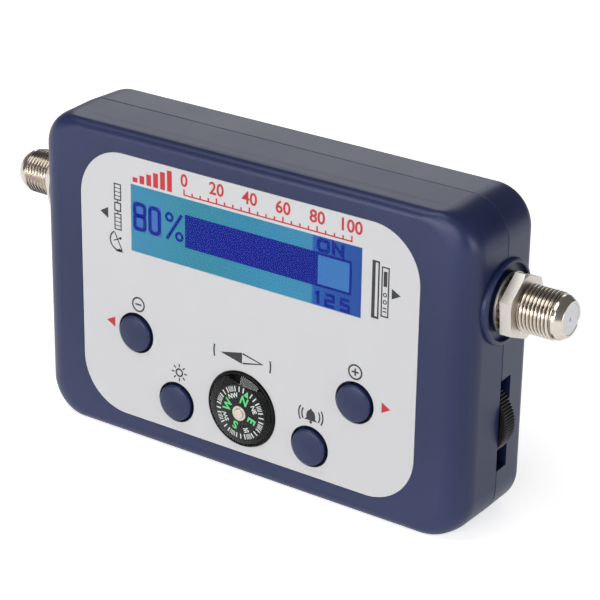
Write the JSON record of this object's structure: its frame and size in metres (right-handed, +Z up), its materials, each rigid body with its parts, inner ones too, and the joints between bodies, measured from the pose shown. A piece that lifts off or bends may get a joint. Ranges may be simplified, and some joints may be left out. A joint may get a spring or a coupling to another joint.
{
  "type": "satellite signal meter",
  "caption": "Hand-held satellite signal meter with a lit display, push buttons, a small built-in compass, a side thumbwheel and a threaded aerial connector at each end.",
  "frame": {"origin": "centre of the case's flat base, half way between its front and rear faces", "axes": "+X towards the right connector, +Y from the face with the display to the back, +Z up"},
  "size_m": [0.1319, 0.0251, 0.0684],
  "materials": {
    "case_plastic": "satin, finely textured, dark navy",
    "label_film": "satin, printed, silver grey",
    "window_film": "clear, glossy",
    "display_glass": "blue liquid crystal cell",
    "light_block": "clear moulded light guide",
    "frame_plastic": "moulded, black",
    "button_plastic": "satin, dark navy",
    "compass_plastic": "polished, black",
    "dome_plastic": "clear, polished",
    "dial_card": "printed, black",
    "dial_metal": "nickel plated, turned",
    "pivot_steel": "hardened point",
    "plated_barrel": "bright nickel plate",
    "plated_steel": "bright nickel plate",
    "insulator_plastic": "natural white",
    "contact_metal": "bronze, plated",
    "wheel_plastic": "knurled, black",
    "shaft_plastic": "moulded, natural",
    "pot_plastic": "moulded, blue",
    "board_laminate": "solder mask, green",
    "switch_plastic": "moulded, black",
    "screw_steel": "zinc plate",
    "can_steel": "tinned",
    "chip_plastic": "moulded, black",
    "pin_metal": "tinned",
    "capacitor_sleeve": "sleeved",
    "choke_body": "ferrite drum with its winding"
  },
  "bodies": {
    "case": {"board_screws": "screw_steel", "buzzer": "chip_plastic", "capacitors": "capacitor_sleeve", "case_screws": "screw_steel", "compass_dome": "dome_plastic", "compass_housing": "compass_plastic", "compass_pivot": "pivot_steel", "crystal": "can_steel", "display_cell": "display_glass", "display_frame": "frame_plastic", "display_light": "light_block", "display_pins": "pin_metal", "display_window": "window_film", "face_label": "label_film", "front_shell": "case_plastic", "left_centre_contact": "contact_metal", "left_connector_barrel": "plated_barrel", "left_connector_insulator": "insulator_plastic", "left_flat_washer": "plated_steel", "left_hex_nut": "plated_steel", "left_lock_washer": "plated_steel", "main_board": "board_laminate", "microcontroller": "chip_plastic", "pot_body": "pot_plastic", "power_choke": "choke_body", "rear_shell": "case_plastic", "right_centre_contact": "contact_metal", "right_connector_barrel": "plated_barrel", "right_connector_insulator": "insulator_plastic", "right_flat_washer": "plated_steel", "right_hex_nut": "plated_steel", "right_lock_washer": "plated_steel", "switch_bodies": "switch_plastic", "tuner_can": "can_steel", "voltage_regulator": "chip_plastic"},
    "left_button": {"left_button": "button_plastic", "left_plunger": "switch_plastic"},
    "light_button": {"light_button": "button_plastic", "light_plunger": "switch_plastic"},
    "buzzer_button": {"buzzer_button": "button_plastic", "buzzer_plunger": "switch_plastic"},
    "right_button": {"right_button": "button_plastic", "right_plunger": "switch_plastic"},
    "thumbwheel": {"thumbwheel": "wheel_plastic", "pot_shaft": "shaft_plastic"},
    "compass_dial": {"compass_dial": "dial_card", "compass_cap": "dial_metal"}
  },
  "joints": [
    {"name": "left_button_press", "type": "slide", "parent": "case", "child": "left_button", "axis": [0, 1, 0], "range_m": [0, 0.00035], "stiffness_N_per_m": 5000},
    {"name": "light_button_press", "type": "slide", "parent": "case", "child": "light_button", "axis": [0, 1, 0], "range_m": [0, 0.00035], "stiffness_N_per_m": 5000},
    {"name": "buzzer_button_press", "type": "slide", "parent": "case", "child": "buzzer_button", "axis": [0, 1, 0], "range_m": [0, 0.00035], "stiffness_N_per_m": 5000},
    {"name": "right_button_press", "type": "slide", "parent": "case", "child": "right_button", "axis": [0, 1, 0], "range_m": [0, 0.00035], "stiffness_N_per_m": 5000},
    {"name": "thumbwheel_turn", "type": "hinge", "parent": "case", "child": "thumbwheel", "pos_m": [0.0462, 0.00265, 0.02165], "axis": [0, 1, 0], "range_deg": [-150, 150]},
    {"name": "compass_dial_turn", "type": "hinge", "parent": "case", "child": "compass_dial", "pos_m": [-0.00015, -0.0114, 0.01415], "axis": [0, 1, 0], "continuous": true}
  ]
}
